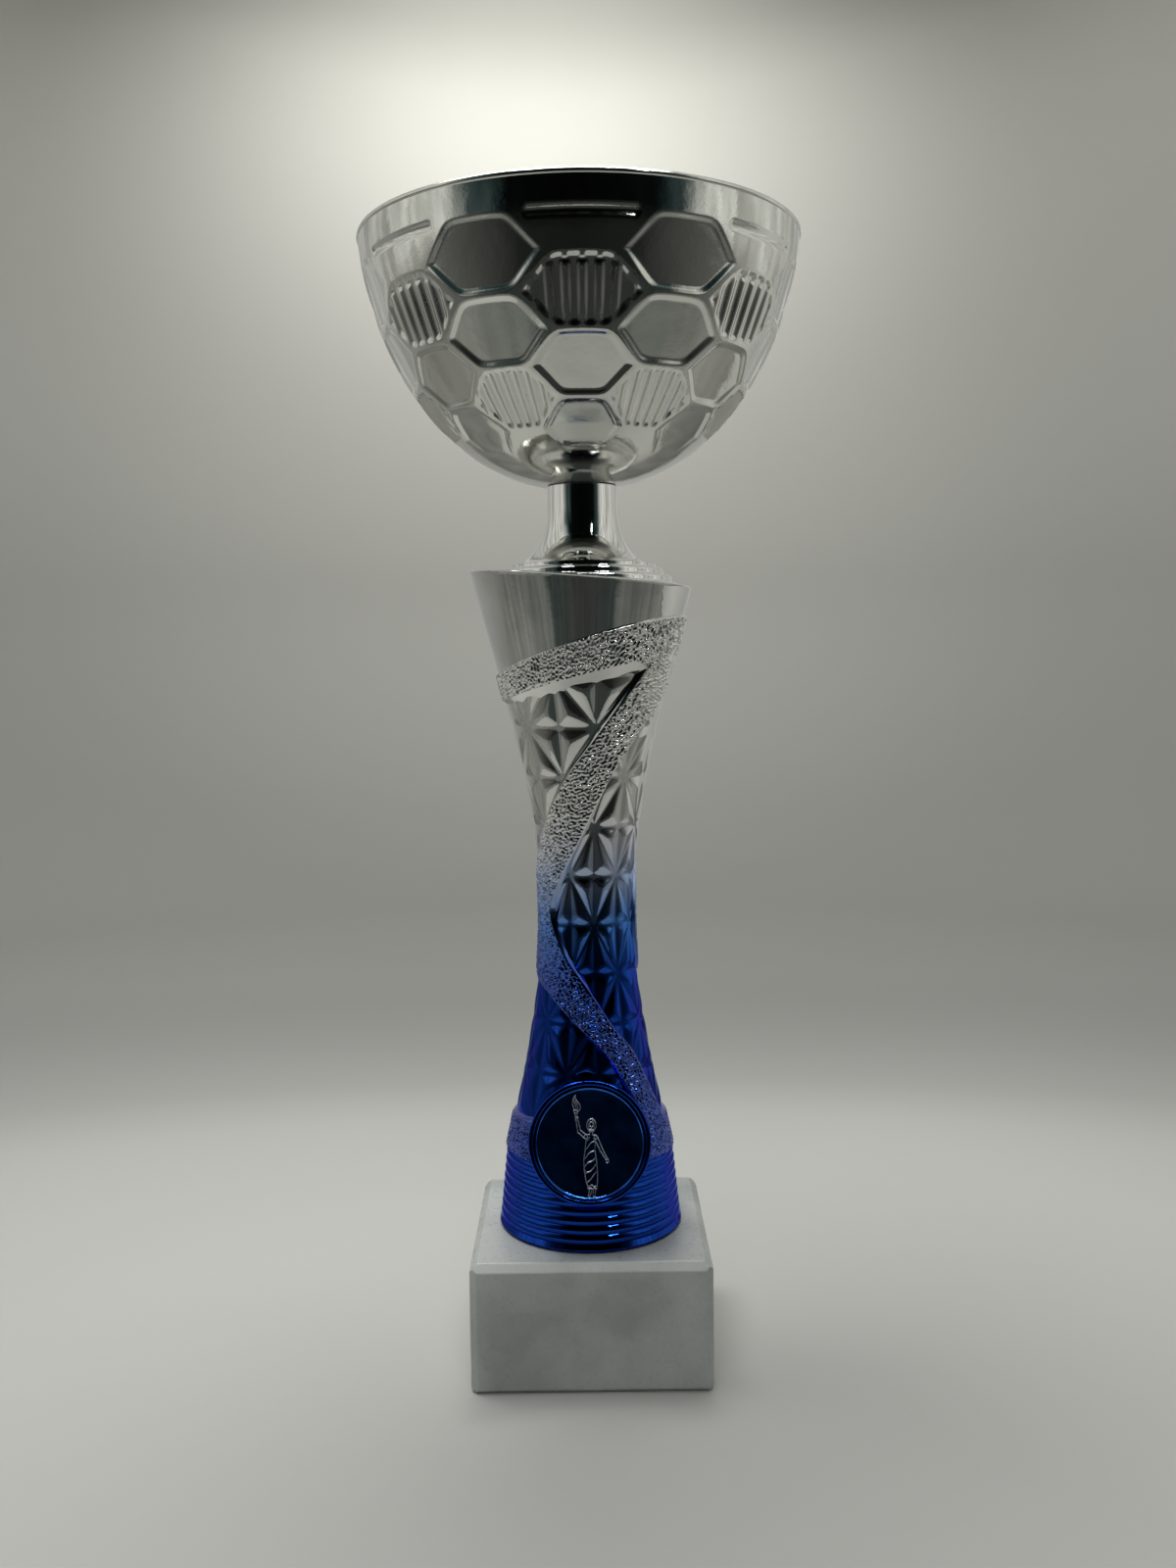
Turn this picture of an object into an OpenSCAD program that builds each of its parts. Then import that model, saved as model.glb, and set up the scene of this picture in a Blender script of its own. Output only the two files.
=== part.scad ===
// Cup trophy: a stamped metal bowl on a stepped riser, a waisted hollow column with an
// emblem, and a square marble base, all clamped together by one threaded rod.
// Millimetres, +Z up, origin at the centre of the underside, front towards -Y.

/* [Marble base] */
// Side of the square base
base_side = 55; // [48:1:80]
// Height of the base
base_h = 30; // [24:1:34]
// Width of the cut along the top edges
base_chamfer = 1.8; // [0.8:0.1:3]
// Diameter of the recess for the nut, underneath
recess_d = 22; // [20:1:26]
// Depth of that recess
recess_h = 13; // [12:0.5:16]

/* [Column] */
// Height at which the column is narrowest, measured from the ground
waist_z = 105; // [95:1:115]
// Radius of the column at its waist
waist_r = 11; // [10:0.1:12]
// Radius of the ribbed foot where it stands on the base
foot_r = 21.9; // [21.5:0.1:22.5]
// Mean height of the slanting top edge
top_z = 183.3; // [182.8:0.1:184]
// Slant of the top edge, falling towards +X
top_slant = 4.75; // [3:0.05:5]
// Thickness of the moulded wall
column_wall = 2; // [1.6:0.1:2.4]

/* [Emblem] */
// Diameter of the emblem disc
emblem_d = 25; // [24:0.5:25]
// Outer radius of the round holder
holder_r = 14; // [13.6:0.1:14.4]
// Height of the middle of the holder's front above the ground
emblem_z = 55.5; // [55:0.1:56]
// Distance of the middle of the holder's front from the column's axis
emblem_y = 20.5; // [20:0.1:21]
// How far the holder leans back, to follow the column's taper
emblem_tilt = 12; // [10:0.5:14]

/* [Riser] */
// Radius of the riser's neck
neck_r = 8.1; // [7.5:0.1:9]
// Height of the top of the neck, where the bowl sits
neck_top = 204.8; // [203:0.1:206]

/* [Bowl] */
// Diameter of the bowl's body
bowl_d = 100; // [90:1:110]
// Height of the bowl from the top of the neck
bowl_h = 55.1; // [50:0.1:60]
// Thickness of the sheet
sheet = 0.7; // [0.6:0.05:1]

/* [Hardware] */
// Diameter of the threaded rod
rod_d = 6; // [6:0.1:6.1]
// Width across the flats of both nuts
nut_af = 10; // [9.5:0.5:11]
// Height of both nuts
nut_h = 5; // [4:0.5:5]

/* [Hidden] */
$fn = 96;

// Clearances
eps = 0.01;
turn_gap = 0.1;     // flat faces of two pieces that turn on each other
rod_fit = 0.08;     // radial play of a turning piece on the rod
thread_fit = 0.05;  // radial play that stands for the thread inside a nut
seat_fit = 0.2;     // radial play of the riser in the top of the column

rod_r = rod_d / 2;

// Base
rod_hole_r = 3.5;
side_chamfer = 1.6;
foot_chamfer = 1;

// Rod hardware, from the recess upwards
washer_r = 9;
washer_h = 1.6;
washer_hole_r = 3.2;
lock_r = 5.6;
lock_h = 1.6;
lock_slit = 1.5;
base_washer_z = recess_h - washer_h;
lock_z = base_washer_z - lock_h;
base_nut_z = lock_z - nut_h;
rod_bottom = base_nut_z - 1;

// Column outline: two hyperbolas that meet at the waist, on a ribbed foot
lower_flare = [7.7, 30];
upper_flare = [12.4, 40];
foot_z = base_h + turn_gap;
rib_pitch = 2.1;
rib_count = 9;
rib_depth = 0.45;
rib_base = 1.9;
rib_taper = 0.105;
rib_top = foot_z + rib_base + (rib_count - 1) * rib_pitch;
outline_step = 4.5;
riser_seat_z = 174;
riser_r = 22.1;
plug_h = 4;
plug_ledge = 20.1;

// Emblem holder, whose depths are measured back from its front plane
recess_depth = 1.6;
recess_fit = 0.3;
holder_floor = 1.4;
holder_depth = 11;
tape_h = 0.4;
disc_h = 0.8;
disc_rim = 0.7;
disc_rim_h = 0.2;

// Riser: steps are [radius, height of the step's top]
riser_steps = [[riser_r, 182.3], [20.7, 184], [18.7, 185.7]];
flare_r = 17;
flare_z = 186.7;
flare_top = 200;
riser_wall = 1.8;
neck_web = 3;

// Bowl: a superellipse, flattened where it sits on the neck
bowl_r = bowl_d / 2;
rim_z = neck_top + turn_gap + bowl_h;
bowl_floor = neck_top + turn_gap;
bowl_drop = bowl_h + 0.5;
bowl_p = 1.65;
bowl_q = 2.3;
bowl_steps = 36;
rim_bead = 0.65;

// Hardware in the bowl
bowl_washer_r = 8;
bowl_washer_h = 1.2;
bowl_washer_z = bowl_floor + sheet + turn_gap;
bowl_nut_z = bowl_washer_z + bowl_washer_h;
rod_top = bowl_nut_z + nut_h + 2;

// Height of a hyperbola [a, b] above its vertex, at distance d from it
function flare(f, d) = f[0] * (sqrt(1 + pow(d / f[1], 2)) - 1);

// Radius of the column's skin at height z
function column_r(z) = waist_r + flare(z < waist_z ? lower_flare : upper_flare, z - waist_z);

// Radius of the ribs' crests at height z
function crest_r(z) = foot_r - (z - foot_z) * rib_taper;

// Heights from a to b, about one outline_step apart
function rise(a, b) = [for (i = [0 : ceil((b - a) / outline_step)])
  a + (b - a) * i / ceil((b - a) / outline_step)];

// Points of one rounded rib whose lower groove is at height z
function rib(z) = [for (a = [0 : 45 : 135])
  [crest_r(z) - rib_depth * (1 - sin(a)), z + rib_pitch * (1 - cos(a)) / 2]];

// Point of the bowl's curve at angle a: 0 at the rim, 90 at the lowest point
function bowl_point(a, r, drop) = [
  r * pow(cos(a), 2 / bowl_q),
  rim_z - drop * pow(sin(a), 2 / bowl_p)
];

// The bowl's curve from the rim down to height floor_z, ending flat on the bore
function bowl_curve(r, drop, floor_z) = concat(
  [for (i = [0 : bowl_steps])
    let (p = bowl_point(i * 90 / bowl_steps, r, drop)) if (p[1] > floor_z) p],
  [[bowl_seat_r(r, drop, floor_z), floor_z], [rod_r + rod_fit, floor_z]]
);

// Radius at which the bowl's curve reaches height floor_z
function bowl_seat_r(r, drop, floor_z) =
  r * pow(1 - pow((rim_z - floor_z) / drop, bowl_p), 1 / bowl_q);

function reversed(list) = [for (i = [len(list) - 1 : -1 : 0]) list[i]];

// Ring about the Z axis
module ring(outer, inner, h, z) {
  translate([0, 0, z])
    difference() {
      cylinder(r = outer, h = h);
      translate([0, 0, -eps]) cylinder(r = inner, h = h + 2 * eps);
    }
}

// Disc about the emblem's axis, between two depths behind the holder's front plane
module emblem_cylinder(r, front, back) {
  translate([0, -emblem_y, emblem_z])
    rotate([90 - emblem_tilt, 0, 0])
      translate([0, 0, -back])
        cylinder(r = r, h = back - front);
}

// Square with cut corners
module cut_square(side, cut) {
  half = side / 2;
  inset = half - cut;
  polygon([
    [half, -inset], [half, inset], [inset, half], [-inset, half],
    [-half, inset], [-half, -inset], [-inset, -half], [inset, -half]
  ]);
}

module marble_base() {
  color([0.86, 0.87, 0.86])
    difference() {
      intersection() {
        linear_extrude(height = base_h) cut_square(base_side, side_chamfer);
        edge_roof(0);
        edge_roof(90);
      }
      translate([0, 0, -eps]) cylinder(r = rod_hole_r, h = base_h + 2 * eps);
      translate([0, 0, -eps]) cylinder(d = recess_d, h = recess_h + eps);
    }
}

// Long bar whose section cuts the top and bottom edges of two opposite sides
module edge_roof(turn) {
  half = base_side / 2;
  rotate([90, 0, turn])
    linear_extrude(height = 2 * base_side, center = true)
      polygon([
        [half - foot_chamfer, 0],
        [half, foot_chamfer],
        [half, base_h - base_chamfer],
        [half - base_chamfer, base_h],
        [base_chamfer - half, base_h],
        [-half, base_h - base_chamfer],
        [-half, foot_chamfer],
        [foot_chamfer - half, 0]
      ]);
}

module base_washer() {
  color([0.72, 0.73, 0.74]) ring(washer_r, washer_hole_r, washer_h, base_washer_z);
}

// Split ring, cut through on one side
module lock_washer() {
  color([0.6, 0.61, 0.62])
    difference() {
      ring(lock_r, washer_hole_r, lock_h, lock_z);
      translate([0, -lock_slit / 2, lock_z - eps]) cube([lock_r + 1, lock_slit, lock_h + 2 * eps]);
    }
}

// Hexagon nut with its corners turned off at both ends
module hex_nut(z) {
  corner_r = nut_af / 2 / cos(30);
  relief = corner_r - nut_af / 2;
  translate([0, 0, z])
    difference() {
      intersection() {
        cylinder(r = corner_r, h = nut_h, $fn = 6);
        rotate_extrude()
          polygon([
            [0, 0],
            [nut_af / 2, 0],
            [corner_r, relief],
            [corner_r, nut_h - relief],
            [nut_af / 2, nut_h],
            [0, nut_h]
          ]);
      }
      translate([0, 0, -eps]) cylinder(r = rod_r + thread_fit, h = nut_h + 2 * eps);
    }
}

module base_nut() {
  color([0.72, 0.73, 0.74]) hex_nut(base_nut_z);
}

module bowl_nut() {
  color([0.72, 0.73, 0.74]) hex_nut(bowl_nut_z);
}

// The rod, with its ends bevelled to the depth of the thread
module tie_rod() {
  bevel = 0.6;
  color([0.7, 0.71, 0.72])
    rotate_extrude()
      polygon([
        [0, rod_bottom],
        [rod_r - bevel, rod_bottom],
        [rod_r, rod_bottom + bevel],
        [rod_r, rod_top - bevel],
        [rod_r - bevel, rod_top],
        [0, rod_top]
      ]);
}

// Moulded disc that centres the column's foot on the rod
module foot_plug() {
  web_h = 1.8;
  rim_w = 1.6;
  hub_r = 6;
  hub_h = 9;
  rib_w = 1.4;
  rib_h = plug_h - 0.6;
  plug_r = plug_ledge - 0.1;
  bore_r = rod_r + rod_fit;
  color([0.93, 0.93, 0.9])
    union() {
      rotate_extrude()
        translate([0, foot_z])
          polygon([
            [bore_r, 0], [plug_r, 0], [plug_r, plug_h], [plug_r - rim_w, plug_h],
            [plug_r - rim_w, web_h], [hub_r, web_h], [hub_r, hub_h], [bore_r, hub_h]
          ]);
      for (a = [0 : 60 : 300])
        rotate([0, 0, a])
          translate([(bore_r + hub_r) / 2, -rib_w / 2, foot_z + web_h / 2])
            cube([plug_r - rim_w / 2 - (bore_r + hub_r) / 2, rib_w, rib_h - web_h / 2]);
    }
}

module column_skin() {
  foot_round = 0.8;
  over_top = top_z + 4;
  rotate_extrude()
    polygon(concat(
      [[0, foot_z], [foot_r - foot_round, foot_z], [foot_r, foot_z + foot_round]],
      [for (i = [0 : rib_count - 2]) each rib(foot_z + rib_base + i * rib_pitch)],
      [[crest_r(rib_top) - rib_depth, rib_top]],
      [for (z = rise(rib_top, waist_z)) [column_r(z), z]],
      [for (z = rise(waist_z + outline_step, over_top)) [column_r(z), z]],
      [[0, over_top]]
    ));
}

// Inside of the column: wide at both mouths, with a ledge for the plug and one for the riser
module column_hollow() {
  plug_z = foot_z + plug_h + 0.1;
  rotate_extrude()
    polygon(concat(
      [[0, foot_z - 1], [plug_ledge, foot_z - 1], [plug_ledge, plug_z]],
      [[crest_r(plug_z) - column_wall - rib_depth, plug_z]],
      [for (z = rise(rib_top, waist_z)) [column_r(z) - column_wall, z]],
      [for (z = rise(waist_z + outline_step, riser_seat_z)) [column_r(z) - column_wall, z]],
      [[riser_r + seat_fit, riser_seat_z], [riser_r + seat_fit, top_z + 5], [0, top_z + 5]]
    ));
}

module column() {
  cut = 80;
  color([0.1, 0.25, 0.75])
    difference() {
      union() {
        column_skin();
        emblem_cylinder(holder_r, 0, holder_depth);
      }
      column_hollow();
      emblem_cylinder(emblem_d / 2 + recess_fit, -1, recess_depth);
      emblem_cylinder(holder_r - column_wall, recess_depth + holder_floor, 2 * holder_depth);
      translate([0, 0, top_z])
        rotate([0, top_slant, 0])
          translate([-cut / 2, -cut / 2, 0]) cube([cut, cut, 20]);
    }
}

// Adhesive foam disc behind the emblem
module emblem_tape() {
  color([0.95, 0.95, 0.92]) emblem_cylinder(emblem_d / 2 - 1, recess_depth - tape_h, recess_depth);
}

module emblem_disc() {
  back = recess_depth - tape_h;
  face = back - disc_h;
  color([0.04, 0.07, 0.3])
    difference() {
      emblem_cylinder(emblem_d / 2, face - disc_rim_h, back);
      emblem_cylinder(emblem_d / 2 - disc_rim, face - 1, face);
    }
}

// Quarter ellipse of the neck's flare, from its foot up to the neck, moved in by w
function neck_flare(w) = [for (a = [0 : 9 : 90])
  [flare_r - w - (flare_r - neck_r) * sin(a), flare_top - (flare_top - flare_z) * cos(a)]];

module riser() {
  skirt_z = riser_seat_z + 0.1;
  skirt_wall = 1.6;
  deck = 2.2;
  inner_floor = riser_steps[0][1] - deck;
  outer = concat(
    [[riser_r - skirt_wall, skirt_z], [riser_r, skirt_z]],
    [for (i = [0 : len(riser_steps) - 1])
      each [[riser_steps[i][0], i == 0 ? riser_steps[0][1] : riser_steps[i - 1][1]],
            [riser_steps[i][0], riser_steps[i][1]]]],
    [[flare_r, riser_steps[2][1]]],
    neck_flare(0),
    [[neck_r, neck_top]]
  );
  inner = concat(
    [[rod_r + rod_fit, neck_top], [rod_r + rod_fit, neck_top - neck_web]],
    [[neck_r - riser_wall, neck_top - neck_web]],
    reversed([for (p = neck_flare(riser_wall)) [p[0], p[1] - riser_wall]]),
    [[flare_r - riser_wall, inner_floor], [riser_r - skirt_wall, inner_floor]]
  );
  color([0.78, 0.79, 0.8])
    rotate_extrude() polygon(concat(outer, inner));
}

module bowl() {
  outer = bowl_curve(bowl_r, bowl_drop, bowl_floor);
  inner = bowl_curve(bowl_r - sheet, bowl_drop - sheet, bowl_floor + sheet);
  color([0.75, 0.76, 0.76])
    union() {
      rotate_extrude() polygon(concat(outer, reversed(inner)));
      rotate_extrude()
        translate([bowl_r - sheet / 2, rim_z - rim_bead])
          circle(r = rim_bead, $fn = 32);
    }
}

module bowl_washer() {
  color([0.72, 0.73, 0.74]) ring(bowl_washer_r, washer_hole_r, bowl_washer_h, bowl_washer_z);
}

marble_base();
base_washer();
lock_washer();
base_nut();
tie_rod();
foot_plug();
column();
emblem_tape();
emblem_disc();
riser();
bowl();
bowl_washer();
bowl_nut();
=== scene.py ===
"""Cup trophy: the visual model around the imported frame.

Shapes are worked out in millimetres and become metres in mesh_object().
Azimuths are in degrees from the trophy's front (-Y) towards its right (+X).
"""

import math

import bmesh
import bpy
import numpy as np
from mathutils import Matrix, Vector


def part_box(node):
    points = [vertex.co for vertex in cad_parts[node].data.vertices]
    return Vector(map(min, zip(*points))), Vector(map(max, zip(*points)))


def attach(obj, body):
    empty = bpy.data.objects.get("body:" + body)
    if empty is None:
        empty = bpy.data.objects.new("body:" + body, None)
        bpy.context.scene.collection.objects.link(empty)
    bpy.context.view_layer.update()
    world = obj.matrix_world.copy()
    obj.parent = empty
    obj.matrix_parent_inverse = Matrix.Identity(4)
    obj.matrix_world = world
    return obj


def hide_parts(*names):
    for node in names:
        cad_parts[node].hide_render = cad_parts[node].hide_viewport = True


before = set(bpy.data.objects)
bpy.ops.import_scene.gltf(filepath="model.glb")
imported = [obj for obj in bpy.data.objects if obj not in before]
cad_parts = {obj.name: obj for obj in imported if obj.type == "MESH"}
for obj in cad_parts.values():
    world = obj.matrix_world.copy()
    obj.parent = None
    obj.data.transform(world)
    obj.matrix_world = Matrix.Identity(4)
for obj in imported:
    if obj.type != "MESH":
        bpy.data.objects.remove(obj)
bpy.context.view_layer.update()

MM = 0.001


def box_mm(node):
    """Lowest and highest corner of a CAD node, in millimetres."""
    low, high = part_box(node)
    return low / MM, high / MM


# ---- sizes read from the frame

BASE_HALF, _, BASE_TOP = box_mm("marble_base")[1]
FOOT_Z = box_mm("column")[0].z
EMBLEM_R = box_mm("emblem_disc")[1].x
RISER_LOW, RISER_HIGH = box_mm("riser")
BOWL_LOW, BOWL_HIGH = box_mm("bowl")
RIM_Z = BOWL_HIGH.z
SEAT_Z = BOWL_LOW.z
ROD_LOW, ROD_HIGH = box_mm("tie_rod")
ROD_R = ROD_HIGH.x

# The middle of the emblem holder's front, and how far it leans back, as in the CAD source.
EMBLEM_Y = -20.5
EMBLEM_Z = 55.5
EMBLEM_TILT = math.radians(12)


# ---- small tools

def smooth(t):
    """0 below 0, 1 above 1, with soft ends."""
    t = np.clip(t, 0, 1)
    return t * t * (3 - 2 * t)


def around(azimuth, radius, z):
    """Points about the Z axis as an array of x, y, z."""
    a = np.radians(azimuth)
    return np.stack(np.broadcast_arrays(radius * np.sin(a), -radius * np.cos(a), z), -1)


def facing(angle, radius, depth):
    """Points about the emblem's tilted axis, behind its holder's front; angle 0 is right, 90 is up."""
    a = np.radians(angle)
    x = radius * np.cos(a)
    up = radius * np.sin(a)
    y = EMBLEM_Y + up * math.sin(EMBLEM_TILT) + depth * math.cos(EMBLEM_TILT)
    z = EMBLEM_Z + up * math.cos(EMBLEM_TILT) - depth * math.sin(EMBLEM_TILT)
    return np.stack(np.broadcast_arrays(x, y, z), -1)


def grid_faces(rows, columns, loop_columns=True, loop_rows=False):
    """Quads of a grid of points; seen from outside, rows run up and columns to the right."""
    row = np.arange(rows if loop_rows else rows - 1)[:, None]
    column = np.arange(columns if loop_columns else columns - 1)[None, :]
    up = (row + 1) % rows
    right = (column + 1) % columns
    row, up = row * columns, up * columns
    return np.stack([row + column, row + right, up + right, up + column], -1).reshape(-1, 4)


def capped_faces(points, bottom=True):
    """Faces of a grid of closed rows, with its last row, and its first if asked, filled in."""
    rows, columns = points.shape[:2]
    faces = grid_faces(rows, columns).tolist()
    if bottom:
        faces.append(tuple(range(columns))[::-1])
    faces.append(tuple(range((rows - 1) * columns, rows * columns)))
    return faces


def mesh_object(name, points, faces, material):
    """A smooth-shaded Blender object from points in millimetres."""
    mesh = bpy.data.meshes.new(name)
    mesh.from_pydata((np.asarray(points, dtype=float).reshape(-1, 3) * MM).tolist(), [],
                     [tuple(int(v) for v in face) for face in faces])
    mesh.polygons.foreach_set("use_smooth", [True] * len(mesh.polygons))
    mesh.materials.append(material)
    piece = bpy.data.objects.new(name, mesh)
    bpy.context.collection.objects.link(piece)
    return piece


def mesh_piece(name, points, faces, material, part, sharp=None):
    """A piece that rides on a body in place of a CAD node; part is (body, node, material slot), and the
    slot is not used.
    """
    piece = mesh_object(name, points, faces, material)
    if sharp:
        piece.data.set_sharp_from_angle(angle=math.radians(sharp))
    body, node, slot = part
    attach(piece, body)
    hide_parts(node)
    return piece


def grid_piece(name, points, material, part, loop_rows=True, sharp=None):
    """A piece from rows of points that each close on themselves."""
    faces = grid_faces(*points.shape[:2], loop_rows=loop_rows)
    return mesh_piece(name, points, faces, material, part, sharp)


def lathe(name, profile, material, part, segments, sharp=None, place=around):
    """A closed ring turned from a closed profile of (radius, height) points."""
    angles = np.arange(segments) * 360 / segments
    radii, heights = np.asarray(profile, dtype=float).T
    points = place(angles[None, :], radii[:, None], heights[:, None])
    grid_piece(name, points, material, part, sharp=sharp)


def rounded(points, radii, steps=5):
    """The same closed outline with arcs for corners, one radius per corner."""
    points = [Vector(p) for p in points]
    out = []
    for i, corner in enumerate(points):
        before = points[i - 1] - corner
        after = points[(i + 1) % len(points)] - corner
        turn = before.angle(after)
        if radii[i] <= 0 or turn > math.radians(176):
            out.append(tuple(corner))
            continue
        reach = min(radii[i] / math.tan(turn / 2), 0.45 * before.length, 0.45 * after.length)
        start = corner + before.normalized() * reach
        end = corner + after.normalized() * reach
        for k in range(steps + 1):
            t = k / steps
            out.append(tuple(start * (1 - t) ** 2 + corner * 2 * t * (1 - t) + end * t * t))
    return out


def spline(x, knots):
    """A smooth curve through a few (x, value) knots, without overshoot."""
    xs, ys = np.asarray(sorted(knots), dtype=float).T
    slope = np.diff(ys) / np.diff(xs)
    product = slope[1:] * slope[:-1]
    inner = np.where(product > 0, 2 * product / (slope[1:] + slope[:-1] + 1e-12), 0)
    tangent = np.concatenate([[slope[0]], inner, [slope[-1]]])
    i = np.clip(np.searchsorted(xs, x) - 1, 0, len(xs) - 2)
    h = xs[i + 1] - xs[i]
    t = np.clip((x - xs[i]) / h, 0, 1)
    return ((2 * t**3 - 3 * t**2 + 1) * ys[i] + (t**3 - 2 * t**2 + t) * h * tangent[i]
            + (3 * t**2 - 2 * t**3) * ys[i + 1] + (t**3 - t**2) * h * tangent[i + 1])


# ---- materials

class Shader:
    """A material with one Principled shader, and helpers to add nodes to it."""

    def __init__(self, name, **values):
        self.material = bpy.data.materials.new(name)
        self.material.use_nodes = True
        self.tree = self.material.node_tree
        self.principled = self.tree.nodes["Principled BSDF"]
        for socket, value in values.items():
            self.principled.inputs[socket.replace("_", " ")].default_value = value
        self.place = self.tree.nodes.new("ShaderNodeTexCoord").outputs["Object"]

    def node(self, kind, settings=None, **inputs):
        """Adds a node; an input may be a value or another node's output."""
        node = self.tree.nodes.new(kind)
        for key, value in (settings or {}).items():
            setattr(node, key, value)
        for key, value in inputs.items():
            self.feed(node.inputs[key.replace("_", " ")], value)
        return node

    def feed(self, socket, value):
        """Links another node's output to a socket, or sets the socket's value."""
        if isinstance(value, bpy.types.NodeSocket):
            self.tree.links.new(value, socket)
        else:
            socket.default_value = value

    def noise(self, size, detail=2.0, roughness=0.5, stretch=None):
        """Noise whose features are about size millimetres across."""
        place = self.place
        if stretch:
            place = self.node("ShaderNodeMapping", Vector=place, Scale=stretch).outputs[0]
        node = self.node("ShaderNodeTexNoise", Vector=place, Scale=1 / (size * MM),
                         Detail=detail, Roughness=roughness)
        return node.outputs["Fac"]

    def ramp(self, value, *stops):
        """A colour ramp; a stop is (position, grey), (position, grey, blue) or (position, r, g, b)."""
        node = self.node("ShaderNodeValToRGB", Fac=value)
        elements = node.color_ramp.elements
        while len(elements) < len(stops):
            elements.new(0.5)
        for element, (position, *colour) in zip(elements, stops):
            element.position = position
            element.color = (*(colour[:1] * (3 - len(colour)) + colour), 1)
        return node.outputs["Color"]

    def mix(self, factor, a, b, blend="MIX"):
        """Two colours mixed by a factor; both are other nodes' outputs."""
        node = self.node("ShaderNodeMix", {"data_type": "RGBA", "blend_type": blend})
        for key, value in (("Factor_Float", factor), ("A_Color", a), ("B_Color", b)):
            self.feed(next(s for s in node.inputs if s.identifier == key), value)
        return next(s for s in node.outputs if s.identifier == "Result_Color")

    def times(self, a, b):
        """Two colours multiplied."""
        return self.mix(1.0, a, b, "MULTIPLY")

    def height(self, axis="Z"):
        """Height above the ground in metres, or the place along another axis."""
        return self.node("ShaderNodeSeparateXYZ", Vector=self.place).outputs[axis]

    def turn(self):
        """Angle from the front towards the right, in radians from -pi to pi."""
        return self.math("ARCTAN2", self.height("X"), self.math("MULTIPLY", self.height("Y"), -1))

    def side(self):
        """The same angle to either side, from 0 in front to 1 at the back."""
        return self.math("DIVIDE", self.math("ABSOLUTE", self.turn()), math.pi)

    def reach(self, narrowing=1.0):
        """Distance from the Z axis in metres, with X counted less where narrowing is below 1."""
        x = self.math("MULTIPLY", self.height("X"), narrowing)
        flat = self.node("ShaderNodeCombineXYZ", X=x, Y=self.height("Y")).outputs[0]
        length = self.node("ShaderNodeVectorMath", {"operation": "LENGTH"}, Vector=flat)
        return length.outputs["Value"]

    def share(self, value, low, span):
        """How far a value is through a span that starts at low, from 0 to 1."""
        node = self.math("DIVIDE", self.math("SUBTRACT", value, low), span).node
        node.use_clamp = True
        return node.outputs[0]

    def math(self, operation, a, b=0.0):
        """The result of a Math node."""
        node = self.node("ShaderNodeMath", {"operation": operation})
        for socket, value in zip(node.inputs, (a, b)):
            self.feed(socket, value)
        return node.outputs[0]

    def set(self, socket, value):
        """Links a node's output to the Principled shader."""
        self.tree.links.new(value, self.principled.inputs[socket])

    def bump(self, *layers):
        """Bumps in layers of (height from 0 to 1, depth in millimetres)."""
        normal = None
        for height, depth in layers:
            node = self.node("ShaderNodeBump", Height=height, Distance=depth * MM, Strength=1.0)
            if normal:
                self.tree.links.new(normal, node.inputs["Normal"])
            normal = node.outputs[0]
        self.set("Normal", normal)


def mottled(name, tint, haze, *bumps, **values):
    """A material with a tint and a roughness that each drift between two stops, and fine bumps.

    tint and haze are (noise settings, low stop, high stop); a bump is (noise settings, depth in mm).
    """
    s = Shader(name, **values)
    s.set("Base Color", s.ramp(s.noise(*tint[0]), *tint[1:]))
    s.set("Roughness", s.ramp(s.noise(*haze[0]), *haze[1:]))
    s.bump(*((s.noise(*settings), depth) for settings, depth in bumps))
    return s.material


BLUE = (0.001, 0.05, 0.38)
MID_BLUE = (0.06, 0.2, 0.59)
LIGHT_BLUE = (0.35, 0.45, 0.67)
SILVER = (0.72, 0.72, 0.695)
FADE_START = 90.0
FADE_SPAN = 44.5


def column_lacquer(name, haze=0.032, grain=0.0, coat=0.2, coat_ior=1.5):
    """Metallised plastic under a transparent lacquer that fades from silver to deep blue downwards."""
    s = Shader(name, Metallic=1.0, Coat_Weight=coat, Coat_Roughness=0.04, Coat_IOR=coat_ior)
    drift = s.math("MULTIPLY", s.noise(16, 2), 9 * MM)
    level = s.math("ADD", s.height(), drift)
    shift = s.math("SUBTRACT", level, FADE_START * MM)
    fade = s.math("DIVIDE", shift, FADE_SPAN * MM)
    colour = s.ramp(fade, (0.0, *BLUE), (0.2, 0.006, 0.075, 0.47), (0.42, *MID_BLUE),
                    (0.62, *LIGHT_BLUE), (0.8, 0.6, 0.63, 0.7), (1.0, *SILVER))
    s.set("Specular Tint", s.ramp(fade, (0.1, 0.1, 0.35, 0.9), (0.9, 1.0)))
    patches = s.ramp(s.noise(9, 3), (0.3, 0.86), (0.7, 1.0))
    s.set("Base Color", s.times(colour, patches))
    s.set("Roughness", s.ramp(s.noise(2.5, 3, 0.6), (0.3, haze * 0.6), (0.75, haze * 1.5)))
    layers = [(s.noise(4.0, 2), 0.03)]
    if grain:
        layers.append((s.noise(0.28, 2, 0.6), grain))
    s.bump(*layers)
    return s.material


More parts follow.
